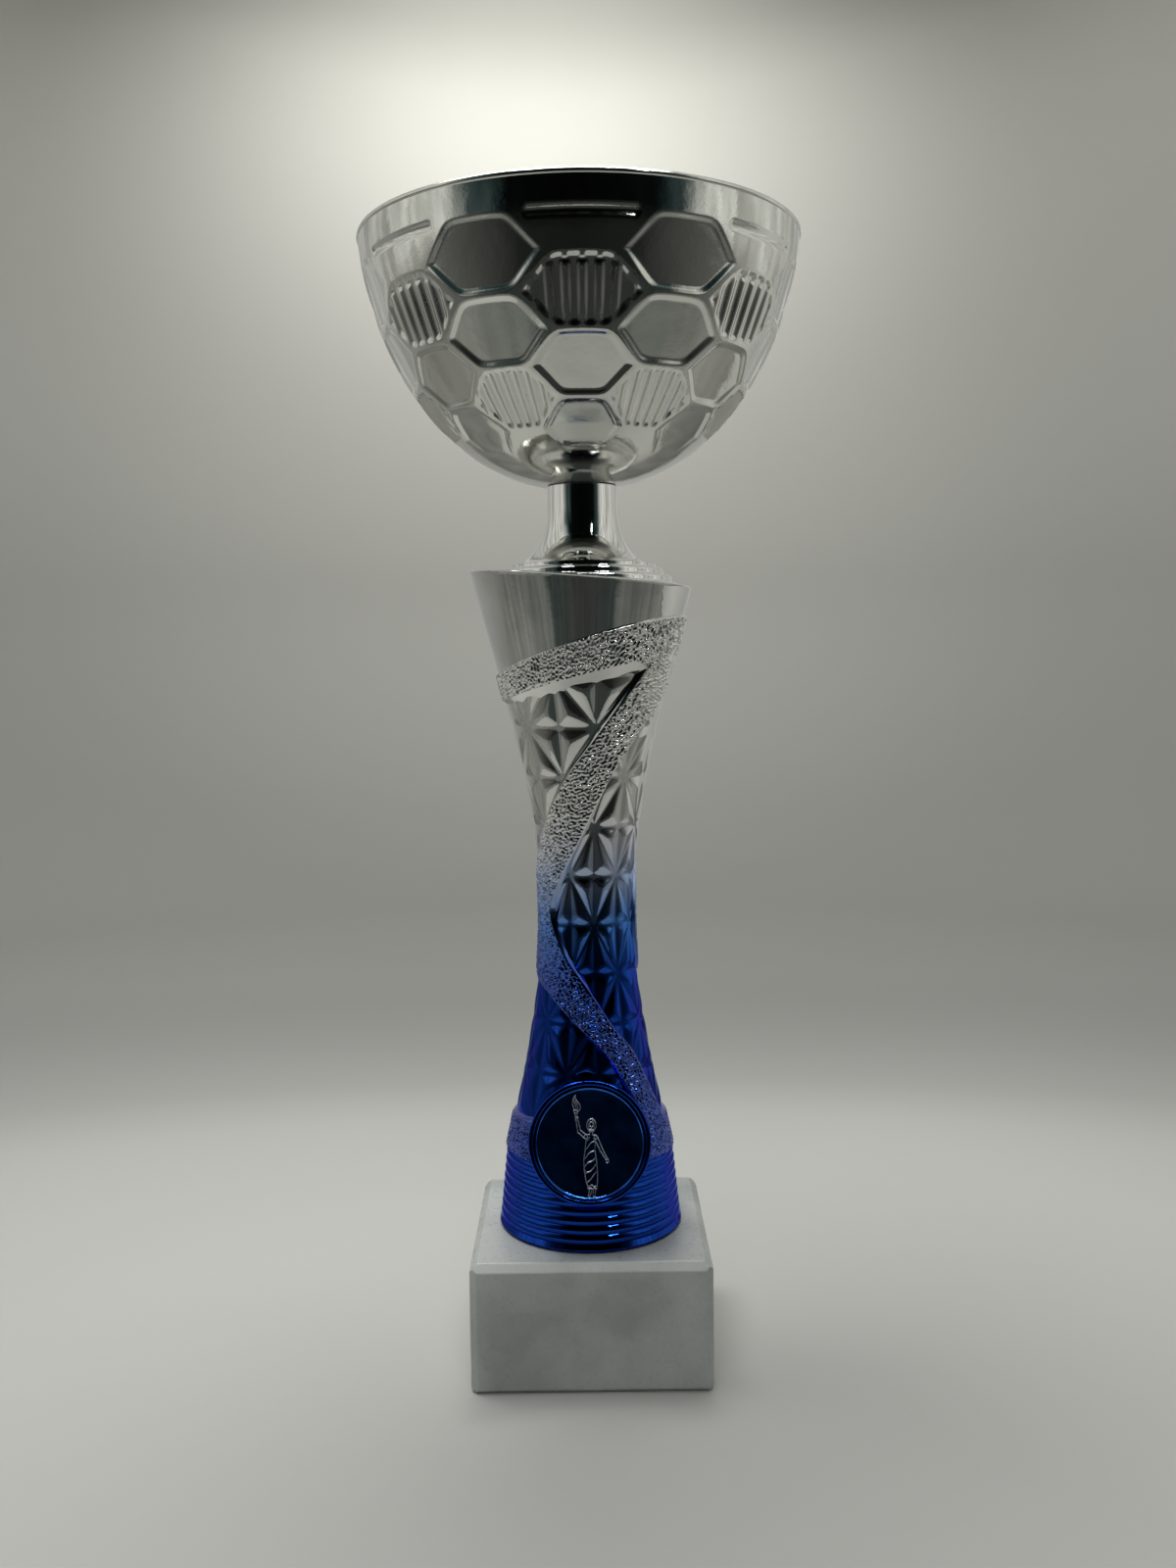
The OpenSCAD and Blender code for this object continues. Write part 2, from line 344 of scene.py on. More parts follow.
def marble():
    """Honed pale marble: soft cloudy greys with a crystalline grain under the polish."""
    s = Shader("marble", Subsurface_Weight=0.25, Subsurface_Scale=0.004, Specular_IOR_Level=0.45,
               Subsurface_Radius=(1.0, 0.9, 0.8))
    bend = s.node("ShaderNodeTexNoise", Vector=s.place, Scale=1 / (30 * MM), Detail=3.0)
    warp = s.node("ShaderNodeVectorMath", {"operation": "MULTIPLY_ADD"})
    reach = 22 * MM
    for socket, value in zip(warp.inputs, (bend.outputs["Color"], (reach, reach, reach), s.place)):
        s.feed(socket, value)
    clouds = s.node("ShaderNodeTexNoise", Vector=warp.outputs[0], Scale=1 / (20 * MM), Detail=2.5,
                    Roughness=0.45)
    ground = s.ramp(clouds.outputs["Fac"], (0.3, 0.36, 0.385, 0.375), (0.5, 0.48, 0.505, 0.49),
                    (0.7, 0.56, 0.58, 0.565))
    grain = s.ramp(s.noise(0.9, 3, 0.7), (0.3, 0.95), (0.7, 1.03))
    s.set("Base Color", s.times(ground, grain))
    s.set("Roughness", s.ramp(s.noise(1.4, 4, 0.7), (0.3, 0.24), (0.75, 0.4)))
    s.bump((s.noise(0.8, 4, 0.7), 0.006), (s.noise(12, 2), 0.02))
    return s.material


# Bright nickel on stamped steel: mirror-like, with a faint orange peel and polishing haze.
BOWL_METAL = mottled(
    "bowl_chrome", ((26, 3), (0.35, 0.64, 0.645, 0.6), (0.7, 0.73, 0.735, 0.69)),
    ((3.0, 4, 0.6), (0.3, 0.045), (0.75, 0.11)),
    ((6.5, 2), 0.085), ((1.5, 2), 0.012), ((0.6, 3, 0.6), 0.014), Metallic=1.0)
# Vacuum-metallised plastic: a cleaner mirror with soft moulding waves.
RISER_METAL = mottled(
    "riser_chrome", ((18, 2), (0.3, 0.75, 0.73), (0.7, 0.81, 0.79)),
    ((4.0, 3, 0.6), (0.3, 0.025), (0.75, 0.07)), ((6.0, 2), 0.03), Metallic=1.0)
LACQUER = column_lacquer("column_lacquer")
LACQUER_GRAIN = column_lacquer("column_grain", haze=0.07, grain=0.012, coat=1.0, coat_ior=1.6)
# Dark blue mirror foil.
EMBLEM_MIRROR = mottled(
    "emblem_blue", ((5, 3), (0.35, 0.008, 0.07, 0.42), (0.65, 0.04, 0.22, 0.9)),
    ((1.2, 4, 0.6), (0.3, 0.05), (0.75, 0.13)), ((3.0, 2), 0.012),
    Metallic=1.0, Coat_Weight=0.2, Coat_Roughness=0.03)
# The figure's raised lines in a pale frosty metal: a painted highlight that makes the outlines read
# bright against the blue foil.
EMBLEM_LINE = mottled(
    "emblem_relief", ((0.5, 3), (0.3, 0.36, 0.39, 0.46), (0.7, 0.66, 0.69, 0.74)),
    ((0.7, 3, 0.6), (0.3, 0.22), (0.75, 0.4)), ((0.25, 2), 0.006), Metallic=1.0)
MARBLE = marble()
# Bright zinc plate with fine turning marks and dull patches.
ZINC = mottled(
    "zinc_steel", ((2.2, 4, 0.6), (0.3, 0.48, 0.45), (0.7, 0.68, 0.66)),
    ((0.9, 4, 0.7), (0.3, 0.22), (0.75, 0.42)), ((0.25, 3, 0.6, (1, 1, 8)), 0.008), Metallic=1.0)
# Natural white polystyrene with a fine moulded grain.
PLASTIC = mottled(
    "white_plastic", ((6, 3), (0.3, 0.8, 0.75), (0.7, 0.87, 0.83)),
    ((0.8, 3, 0.6), (0.3, 0.38), (0.75, 0.52)), ((0.35, 3, 0.6), 0.008),
    Specular_IOR_Level=0.5, Subsurface_Weight=0.08, Subsurface_Scale=0.002)
# White closed-cell foam tape.
FOAM = mottled(
    "foam_tape", ((0.5, 3), (0.3, 0.74, 0.7), (0.7, 0.86, 0.82)),
    ((0.6, 2), (0.3, 0.8), (0.7, 0.95)), ((0.3, 3, 0.7), 0.03), Specular_IOR_Level=0.2)

# The body, CAD node and material slot of parts with more than one piece.
COLUMN = ("column", "column", "column_lacquer")
EMBLEM = ("column", "emblem_disc", "emblem_blue")
BOWL = ("bowl", "bowl", "bowl_chrome")


# ---- marble base

BASE_TOP_CUT = 1.8
BASE_CORNER_CUT = 1.6
BASE_FOOT_CUT = 1.0
ROD_HOLE_R = 3.5
RECESS_R = 11.0
RECESS_TOP = 13.0


def square_loop(half, cut, per_side=12):
    """Points round a square with cut corners; with no cut, the corner's points fall together."""
    inset = half - cut
    corners = [(-inset, -half), (inset, -half), (half, -inset), (half, inset),
               (inset, half), (-inset, half), (-half, inset), (-half, -inset)]
    counts = [per_side, 2] * 4
    return np.concatenate([np.linspace(start, end, count, endpoint=False) for start, end, count
                           in zip(corners, corners[1:] + corners[:1], counts)])


def build_base():
    """The block, with its rod hole and the recess for the nut underneath."""
    widest = 2 * BASE_HALF - BASE_CORNER_CUT
    even = widest / 2
    step = BASE_HALF - even
    levels = [
        (BASE_TOP, BASE_HALF - BASE_TOP_CUT), (BASE_TOP - BASE_TOP_CUT + step, even),
        (BASE_TOP - BASE_TOP_CUT, BASE_HALF), (BASE_FOOT_CUT, BASE_HALF),
        (BASE_FOOT_CUT - step, even), (0.0, BASE_HALF - BASE_FOOT_CUT),
    ]
    outline = square_loop(BASE_HALF, BASE_CORNER_CUT)
    rays = outline / np.hypot(*outline.T)[:, None]
    rows = [(rays * ROD_HOLE_R, BASE_TOP)]
    rows += [(square_loop(half, max(0.0, 2 * half - widest)), z) for z, half in levels]
    rows += [(rays * RECESS_R, 0.0), (rays * RECESS_R, RECESS_TOP), (rays * ROD_HOLE_R, RECESS_TOP)]
    points = np.stack([np.column_stack([xy, np.full(len(xy), z)]) for xy, z in reversed(rows)])
    piece = grid_piece("base_block", points, MARBLE, ("base", "marble_base", "marble"))
    edit = bmesh.new()
    edit.from_mesh(piece.data)
    bmesh.ops.remove_doubles(edit, verts=edit.verts, dist=0.001 * MM)
    bmesh.ops.recalc_face_normals(edit, faces=edit.faces)
    edit.to_mesh(piece.data)
    edit.free()
    bevel = piece.modifiers.new("soft_edges", "BEVEL")
    bevel.width = 0.28 * MM
    bevel.segments = 3
    bevel.limit_method = "ANGLE"
    bevel.angle_limit = math.radians(20)
    bevel.harden_normals = True


# ---- tie rod

def build_rod():
    """The rod with its rolled thread, one turn a millimetre."""
    pitch = 1.0
    depth = 0.58
    bevel = 0.6
    per_turn = 24
    rows_per_pitch = 6
    count = int((ROD_HIGH.z - ROD_LOW.z) / pitch * rows_per_pitch) + 1
    z = np.linspace(ROD_LOW.z, ROD_HIGH.z, count)[:, None]
    azimuth = np.arange(per_turn)[None, :] * 360 / per_turn
    phase = (z / pitch + azimuth / 360) % 1
    flank = np.abs(2 * phase - 1)
    radius = ROD_R - depth * np.clip((flank - 0.12) / 0.7, 0, 1)
    end = np.minimum(z - ROD_LOW.z, ROD_HIGH.z - z)
    radius = np.minimum(radius, ROD_R - bevel + np.clip(end, 0, bevel))
    points = around(azimuth, radius, z)
    mesh_piece("threaded_rod", points, capped_faces(points), ZINC, ("base", "tie_rod", "zinc_steel"), 50)


# ---- column

WAIST_Z = 105.0
WAIST_R = 11.0
LOWER_FLARE = (7.7, 30.0)
UPPER_FLARE = (12.4, 40.0)
WALL = 2.0
TOP_Z = 183.3
TOP_SLOPE = math.tan(math.radians(4.75))
LIP_R = 24.0
BORE_R = 22.3
BORE_Z = 174.0
RIB_PITCH = 2.1
RIB_COUNT = 8
RIB_DEPTH = 0.45
RIB_LOW = FOOT_Z + 1.9
RIB_HIGH = RIB_LOW + RIB_COUNT * RIB_PITCH
FOOT_R = 21.9
FOOT_INNER_R = 20.1
FOOT_SHELF_R = 17.6
FOOT_TAPER = 0.105


def column_r(z):
    """Radius of the column's skin: two hyperbolas that meet at the waist."""
    rise = np.where(z < WAIST_Z, LOWER_FLARE[0], UPPER_FLARE[0])
    run = np.where(z < WAIST_Z, LOWER_FLARE[1], UPPER_FLARE[1])
    return WAIST_R + rise * (np.sqrt(1 + ((z - WAIST_Z) / run) ** 2) - 1)


def top_band(azimuth):
    """Heights of the lower and upper edge of the tilted grained band."""
    a = np.radians(azimuth)
    corner = 4.2 * np.exp(-(((azimuth - 51) / 10) ** 2))
    low = 160.3 + 5.2 * np.sin(a) + 1.3 * np.cos(a) - corner
    high = 167.65 + 6.65 * np.sin(a) + 1.75 * np.cos(a)
    return low, high


def build_foot():
    """The ribbed foot, hollow underneath."""
    def crest(z):
        return FOOT_R - (z - FOOT_Z) * FOOT_TAPER

    outer = [(FOOT_INNER_R, FOOT_Z), (FOOT_R - 0.8, FOOT_Z), (FOOT_R - 0.25, FOOT_Z + 0.2),
             (FOOT_R, FOOT_Z + 0.8)]
    steps = 10
    for i in range(RIB_COUNT):
        for k in range(steps):
            t = k / steps
            z = RIB_LOW + (i + t) * RIB_PITCH
            outer.append((crest(z) - RIB_DEPTH * (1 - math.sin(math.pi * t) ** 0.8), z))
    for inset, rise in ((RIB_DEPTH, 0), (0.1, 0.35), (0.15, 0.7), (0.5, 0.9)):
        outer.append((crest(RIB_HIGH) - inset, RIB_HIGH + rise))
    inner = [(FOOT_SHELF_R, RIB_HIGH + 0.9), (FOOT_SHELF_R, RIB_HIGH),
             (crest(FOOT_Z + 4) - 2.6, FOOT_Z + 4.1), (FOOT_INNER_R, FOOT_Z + 4.1)]
    lathe("column_foot", outer + inner, LACQUER, COLUMN, 256, sharp=50)


STAR_AZIMUTH = 9.0
STAR_STEP = 30.0
STAR_ROW = 11.5
STAR_Z = 92.0
STARS_DOWN, STARS_UP = 4, 7
CUT_DEPTH = 0.82
CROWN_DEPTH = 0.04
CUT_STEPS = 13
CUT_BLEND = 9
WALL_SKIN = 1.2


def build_crystal():
    """The star-cut skin: grooves in eight directions from every star leave soft three-sided pyramids.

    The cuts get shallower towards the sides, where the halves of the mould part.
    """
    floor_z = RIB_HIGH + 0.5
    points, faces, index = [], [], {}

    def vertex(azimuth, z, depth):
        key = (round(azimuth % 360, 3), round(z, 3))
        if key not in index:
            index[key] = len(points)
            fade = 0.3 + 0.7 * abs(math.cos(math.radians(azimuth)))
            points.append(around(azimuth, float(column_r(z)) - depth * fade, z))
        return index[key]

    def pyramid(*cells):
        flat = np.array([(STAR_AZIMUTH + i * STAR_STEP, max(STAR_Z + j * STAR_ROW, floor_z))
                         for i, j in cells])
        scale = np.array([math.radians(float(column_r(flat[:, 1].mean()))), 1.0])
        edges = (np.roll(flat, -1, 0) - np.roll(flat, -2, 0)) * scale
        side = np.linalg.norm(edges, axis=1)
        area = abs(np.linalg.det(edges[1:]))
        if area < 0.5:
            return
        ids = {}
        for i in range(CUT_STEPS + 1):
            for j in range(CUT_STEPS + 1 - i):
                share = np.array([i, j, CUT_STEPS - i - j]) / CUT_STEPS
                azimuth, z = share @ flat
                away = share * side.sum() / side
                blend = -math.log(np.exp(-CUT_BLEND * away).sum()) / CUT_BLEND
                nearest = max(0.0, blend) if min(away) > 0 else 0.0
                swell = 1 - (1 - min(nearest, 1.0)) ** 1.25
                ids[i, j] = vertex(azimuth, z, CUT_DEPTH - (CUT_DEPTH - CROWN_DEPTH) * swell)
        for i in range(CUT_STEPS):
            for j in range(CUT_STEPS - i):
                faces.append((ids[i, j], ids[i + 1, j], ids[i, j + 1]))
                if i + j < CUT_STEPS - 1:
                    faces.append((ids[i + 1, j], ids[i + 1, j + 1], ids[i, j + 1]))

    for i in range(int(360 / STAR_STEP)):
        for j in range(-STARS_DOWN, STARS_UP):
            a, b, c, d = (i, j), (i + 1, j), (i + 1, j + 1), (i, j + 1)
            if (i + j) % 2:
                pyramid(a, b, c)
                pyramid(a, c, d)
            else:
                pyramid(a, b, d)
                pyramid(b, c, d)
    mesh_piece("column_star_cuts", points, faces, LACQUER, COLUMN)

    heights = np.linspace(floor_z, STAR_Z + STARS_UP * STAR_ROW, 40)
    skin = np.column_stack([column_r(heights) - WALL_SKIN, heights])
    lining = np.column_stack([column_r(heights) - WALL, heights])[::-1]
    lathe("column_wall", np.vstack([skin, lining]), LACQUER, COLUMN, 96, sharp=50)


def build_collar():
    """The plain mirror zone above the band, its slanting lip and the bore that takes the riser."""
    azimuth = np.arange(256) * 360 / 256
    low, high = top_band(azimuth)
    middle = (low + high) / 2
    tilt = TOP_SLOPE * np.sin(np.radians(azimuth))
    round_r = 0.45
    rows = []

    def row(radius, z):
        rows.append(around(azimuth, radius, z))

    lip_r = column_r(TOP_Z - 25.8 * tilt)
    lip_z = TOP_Z - lip_r * tilt
    row(column_r(middle) - WALL, middle)
    for t in np.linspace(0, 1, 36):
        z = middle + (lip_z - round_r - middle) * t
        row(column_r(z), z)
    for turn in np.radians([20, 45, 70, 90]):
        row(lip_r - round_r * (1 - math.cos(turn)), lip_z - round_r * (1 - math.sin(turn)))
    for radius in (LIP_R, BORE_R + 0.3):
        row(radius, TOP_Z - radius * tilt)
    row(BORE_R, TOP_Z - BORE_R * tilt - 0.3)
    row(BORE_R, BORE_Z)
    row(column_r(BORE_Z) - WALL, np.full_like(azimuth, BORE_Z))
    for t in (0.33, 0.67):
        z = BORE_Z + (middle - BORE_Z) * t
        row(column_r(z) - WALL, z)
    grid_piece("column_collar", np.stack(rows), LACQUER, COLUMN, sharp=50)


RIBBON_HEIGHT = 0.62
RIBBON_SINK = -1.25
GRAIN_SIZE = 0.76
GRAIN_HEIGHT = 0.18
GRAIN_WAVES = 56
BAND_AZIMUTH = np.arange(0, 360, 0.36)


def grain(points):
    """Worm-like grain: crossing waves of one length in random directions, squeezed to plateaus."""
    rng = np.random.default_rng(11)
    waves = rng.normal(size=(GRAIN_WAVES, 3))
    waves *= 2 * math.pi / GRAIN_SIZE / np.linalg.norm(waves, axis=1)[:, None]
    phases = rng.uniform(0, 2 * math.pi, GRAIN_WAVES)
    field = np.zeros(points.shape[:-1])
    for wave, phase in zip(waves, phases):
        field += np.cos(points @ wave + phase)
    return np.tanh(1.9 * field / math.sqrt(GRAIN_WAVES / 2))


def ribbon_surface(azimuth, z, lift, mask):
    """Points at a height over the column's skin, grained where the mask says."""
    base = around(azimuth, column_r(z) + lift, z)
    worm = grain(base) * GRAIN_HEIGHT * mask
    return around(azimuth, column_r(z) + lift + worm, z)


def outward(azimuth, z, side, width):
    """A curve on the column moved sideways by width, to its right (side 1) or left (side -1)."""
    run = np.radians(azimuth) * column_r(z)
    along = np.stack([np.gradient(run), np.gradient(z)], -1)
    along /= np.linalg.norm(along, axis=-1)[:, None]
    moved_run = run + side * width * along[:, 1]
    moved_z = z - side * width * along[:, 0]
    return np.degrees(moved_run / column_r(moved_z)), moved_z


def band_edge(edge, *steps):
    """Rows beside a band's edge, each (step up, lift over the column's skin)."""
    return [around(BAND_AZIMUTH, column_r(edge + step) + lift, edge + step) for step, lift in steps]


def build_top_band():
    """The tilted band round the column, with a wide mirror bevel under it."""
    low, high = top_band(BAND_AZIMUTH)
    bevel = 1.7 + 0.9 * np.cos(np.radians(BAND_AZIMUTH - 30))
    rows = band_edge(low, (-1.25 * bevel, RIBBON_SINK), (-bevel, -0.7), (-0.5 * bevel, -0.12),
                     (-0.12 * bevel, 0.42), (-0.03 * bevel, 0.54))
    for t in np.linspace(0, 1, 51):
        edge = smooth(min(t, 1 - t) * 14)
        lift = RIBBON_HEIGHT - 0.05 * (1 - edge) + 0.12 * smooth((t - 0.9) / 0.08)
        rows.append(ribbon_surface(BAND_AZIMUTH, low + (high - low) * t, lift, edge))
    rows += band_edge(high, (0.12, 0.45), (0.3, 0.0), (0.4, -0.6), (0.0, RIBBON_SINK),
                      (-3.5, RIBBON_SINK))
    grid_piece("column_top_band", np.stack(rows), LACQUER_GRAIN, COLUMN)


# The front ribbon's edges, as (height, azimuth) knots.
RIGHT_EDGE = [(168, 95), (160, 80), (149, 48), (139, 24), (123, -9), (114, -33), (106.5, -48),
              (98, -31), (89, 0), (80, 25), (74, 44), (64, 61), (55, 75), (49, 83)]
LEFT_EDGE = [(168, 52), (161, 39), (148, 10), (134, -28), (121, -63), (112, -88), (104, -98),
             (96, -93), (91, -78), (88, -49), (81, -11), (74, 17), (65, 36), (57, 50), (49, 62)]


def build_ribbon(name, turn, top):
    """One of the two grained ribbons that swing round the waist."""
    z = np.arange(49.2, top, 0.155)
    left = spline(z, LEFT_EDGE)
    right = spline(z, RIGHT_EDGE)
    flank = ((1.0, RIBBON_SINK), (0.85, -0.75), (0.5, -0.2), (0.2, 0.36), (0.07, 0.52))
    profile = [(*outward(left, z, -1, step), lift, 0.0) for step, lift in flank]
    for t in np.linspace(0, 1, 47):
        edge = smooth(min(t, 1 - t) * 14)
        profile.append((left + (right - left) * t, z, RIBBON_HEIGHT - 0.05 * (1 - edge), edge))
    profile += [(*outward(right, z, 1, step), lift, 0.0) for step, lift in reversed(flank)]
    profile += [(left + (right - left) * t, z, RIBBON_SINK, 0.0) for t in (0.8, 0.6, 0.4, 0.2)]
    points = np.stack([ribbon_surface(a + turn, h, lift, mask) for a, h, lift, mask in profile], 1)
    mesh_piece(name, points, capped_faces(points), LACQUER_GRAIN, COLUMN)


def build_bottom_band():
    """The grained band that closes the ribbons off above the ribs."""
    low = RIB_HIGH + 0.55
    high = 57.0 + 0.8 * np.cos(np.radians(BAND_AZIMUTH))
    rows = band_edge(low, (0.0, RIBBON_SINK))
    for t in np.linspace(0, 1, 53):
        edge = smooth((1 - t) * 14)
        lift = RIBBON_HEIGHT - 0.1 - 0.05 * (1 - edge)
        rows.append(ribbon_surface(BAND_AZIMUTH, low + (high - low) * t, lift, edge))
    rows += band_edge(high, (0.12, 0.4), (0.6, -0.1), (1.1, -0.75), (1.3, RIBBON_SINK))
    grid_piece("column_bottom_band", np.stack(rows), LACQUER_GRAIN, COLUMN)


# ---- emblem

HOLDER_R = 14.0
HOLDER_FLOOR = 1.6
HOLDER_BACK = 11.0


def holder_reach(angle):
    """How deep the holder's wall goes at each angle before it is well inside the column's skin."""
    depth = np.linspace(0, HOLDER_BACK, 60)[:, None]
    x, y, z = np.moveaxis(facing(angle, HOLDER_R, depth), -1, 0)
    sunk = np.hypot(x, y) < column_r(z) - 1.3
    return np.where(sunk.any(axis=0), depth[sunk.argmax(axis=0), 0], HOLDER_BACK)


def build_holder():
    """The round cup on the column's front that the emblem is stuck in."""
    inner = EMBLEM_R + 0.3
    profile = rounded([
        (HOLDER_R, HOLDER_BACK), (HOLDER_R, 0), (inner, 0), (inner, HOLDER_FLOOR), (0.4, HOLDER_FLOOR),
        (0.4, HOLDER_FLOOR + 1.4), (HOLDER_R - WALL, HOLDER_FLOOR + 1.4), (HOLDER_R - WALL, HOLDER_BACK),
    ], [0, 0.55, 0.45, 0.1, 0, 0, 0, 0])

    def place(angle, radius, depth):
        return facing(angle, radius, np.minimum(depth, holder_reach(angle)))

    lathe("emblem_holder", profile, LACQUER, COLUMN, 192, 50, place)


DISC_BACK = 1.2
DISC_FACE = 0.4
DISC_RIM = 0.2
DISC_MIDDLE = 0.02


def build_disc():
    """The emblem's disc with its raised rim."""
    rim = ((0.1, DISC_BACK), (0, DISC_BACK - 0.1), (0, DISC_RIM + 0.12), (0.05, DISC_RIM + 0.03),
           (0.14, DISC_RIM), (0.24, DISC_RIM), (0.32, DISC_RIM + 0.04), (0.42, DISC_FACE - 0.03),
           (0.54, DISC_FACE))
    profile = [(DISC_MIDDLE, DISC_BACK)] + [(EMBLEM_R - inset, depth) for inset, depth in rim]
    profile += [(radius, DISC_FACE) for radius in (8.0, 4.0, DISC_MIDDLE)]
    lathe("emblem_plate", profile, EMBLEM_MIRROR, EMBLEM, 192, 40, facing)


def capsule(x, z, start, end, start_r, end_r):
    """Signed distance to a tapering limb, negative inside."""
    ax, az = start
    dx, dz = end[0] - ax, end[1] - az
    t = np.clip(((x - ax) * dx + (z - az) * dz) / (dx * dx + dz * dz), 0, 1)
    return np.hypot(x - ax - t * dx, z - az - t * dz) - (start_r + (end_r - start_r) * t)


def oval(x, z, centre, half_x, half_z):
    """Rough signed distance to an ellipse, negative inside."""
    return (np.hypot((x - centre[0]) / half_x, (z - centre[1]) / half_z) - 1) * min(half_x, half_z)


LINE_HEIGHT = 0.17
FIGURE_SCALE = 1.06
# Shoulders, raised arm, lowered arm, neck, feet and torch: start, end and half width at each.
LIMBS = (
    ((-0.75, 1.35), (1.25, 1.25), 0.55, 0.5), ((-0.9, 1.35), (-2.35, 2.5), 0.48, 0.4),
    ((-2.35, 2.5), (-2.85, 4.9), 0.4, 0.26), ((1.4, 1.15), (2.6, -1.4), 0.46, 0.38),
    ((2.6, -1.4), (3.75, -3.3), 0.38, 0.25), ((0.3, 1.6), (0.4, 2.6), 0.42, 0.38),
    ((0.1, -9.6), (-0.25, -10.9), 0.36, 0.26), ((0.95, -9.6), (0.85, -11.1), 0.36, 0.26),
    ((-2.95, 5.4), (-3.1, 6.7), 0.22, 0.42),
)
FACE_X, FACE_Z = 0.42, 3.5
FACE_HALF_X, FACE_HALF_Z = 0.7, 1.02
# Eyes, brows, nose and mouth: strength, place in the face and half size, as shares of the face's.
FEATURES = ((0.8, -0.42, 0.02, 0.24, 0.09), (0.8, 0.42, 0.02, 0.24, 0.09), (0.6, -0.42, 0.24, 0.3, 0.07),
            (0.6, 0.42, 0.24, 0.3, 0.07), (0.8, 0, -0.16, 0.13, 0.26), (0.7, 0, -0.5, 0.3, 0.07))


def figure_relief(x, z):
    """Height of the robed torch bearer's raised lines over the disc, 0 where there is nothing."""
    left = spline(z, [(-9.6, -0.5), (-7.0, -1.15), (-4.0, -1.45), (-1.2, -1.1), (0.4, -0.95),
                      (1.5, -0.9)])
    right = spline(z, [(-9.6, 1.55), (-7.0, 1.75), (-4.0, 1.6), (-1.2, 1.25), (0.4, 1.3), (1.5, 1.35)])
    robe = np.maximum(np.maximum(left - x, x - right), np.maximum(z - 1.6, -9.6 - z))
    shoulders, upper_arm, fore_arm, side_arm, side_fore, neck, foot_a, foot_b, torch = (
        capsule(x, z, *limb) for limb in LIMBS)
    hand_up = oval(x, z, (-2.9, 5.2), 0.36, 0.42)
    side_hand = oval(x, z, (3.95, -3.75), 0.33, 0.5)
    hair = oval(x, z, (0.42, 3.75), 1.08, 1.42)
    face = oval(x, z, (FACE_X, FACE_Z), FACE_HALF_X, FACE_HALF_Z)
    bend = 0.28 * np.sin(1.6 * (z - 6.4))
    flame_width = spline(z, [(6.2, 0.0), (7.0, 0.72), (8.0, 0.88), (9.0, 0.5), (10.2, 0.0)])
    flame = np.maximum(np.abs(x + 3.1 - bend) - flame_width, np.maximum(z - 10.2, 6.2 - z))

    def outline(distance, width=0.07):
        return smooth(1 - np.abs(distance + width) / (1.35 * width))

    shapes = [np.minimum.reduce([robe, shoulders, neck]),
              np.minimum.reduce([upper_arm, fore_arm, hand_up]),
              np.minimum.reduce([side_arm, side_fore, side_hand]), hair, foot_a, foot_b, flame]
    lines = [outline(shape) for shape in (*shapes, face)] + [outline(torch, 0.08)]
    inside_robe = smooth(-(robe + 0.25) / 0.2)
    for k in range(6):
        start = 0.8 - 1.75 * k
        fold = z - start - 0.85 * (x + 0.6) - 0.25 * np.sin(2.2 * x + k)
        lines.append(0.9 * inside_robe * smooth(1 - np.abs(fold) / 0.12))
    hem = z + 8.9 - 0.2 * np.sin(5 * x)
    lines.append(inside_robe * smooth(1 - np.abs(hem) / 0.11))
    for k in (-1, 1):
        lick = np.abs(x + 3.1 - bend - 0.2 * k) - 0.03
        inside_flame = smooth(-(flame + 0.15) / 0.12)
        lines.append(0.7 * inside_flame * smooth(1 - lick / 0.06))
    fx, fz = (x - FACE_X) / FACE_HALF_X, (z - FACE_Z) / FACE_HALF_Z
    for strength, across, up, half_x, half_z in FEATURES:
        lines.append(strength * smooth(1 - np.hypot((fx - across) / half_x, (fz - up) / half_z)))
    return LINE_HEIGHT * np.max(lines, axis=0) * (np.minimum.reduce([*shapes, torch]) < 0.02)


def build_figure():
    """The lines of the relief on the disc, each cut out along its own edge."""
    step = 0.055
    xs = np.arange(-4.4, 5.0, step)
    zs = np.arange(-11.5, 10.7, step)
    x, z = np.meshgrid(xs, zs)
    height = figure_relief(x, z)
    points = facing(0, x, DISC_FACE + 0.006 - height)
    points += z[..., None] * FIGURE_SCALE * np.array([0, math.sin(EMBLEM_TILT), math.cos(EMBLEM_TILT)])
    faces = grid_faces(len(zs), len(xs), loop_columns=False)
    faces = faces[height.reshape(-1)[faces].max(axis=1) > 0.012]
    used, index = np.unique(faces, return_inverse=True)
    mesh_piece("emblem_figure", points.reshape(-1, 3)[used], index.reshape(-1, 4), EMBLEM_LINE, EMBLEM)


# ---- riser

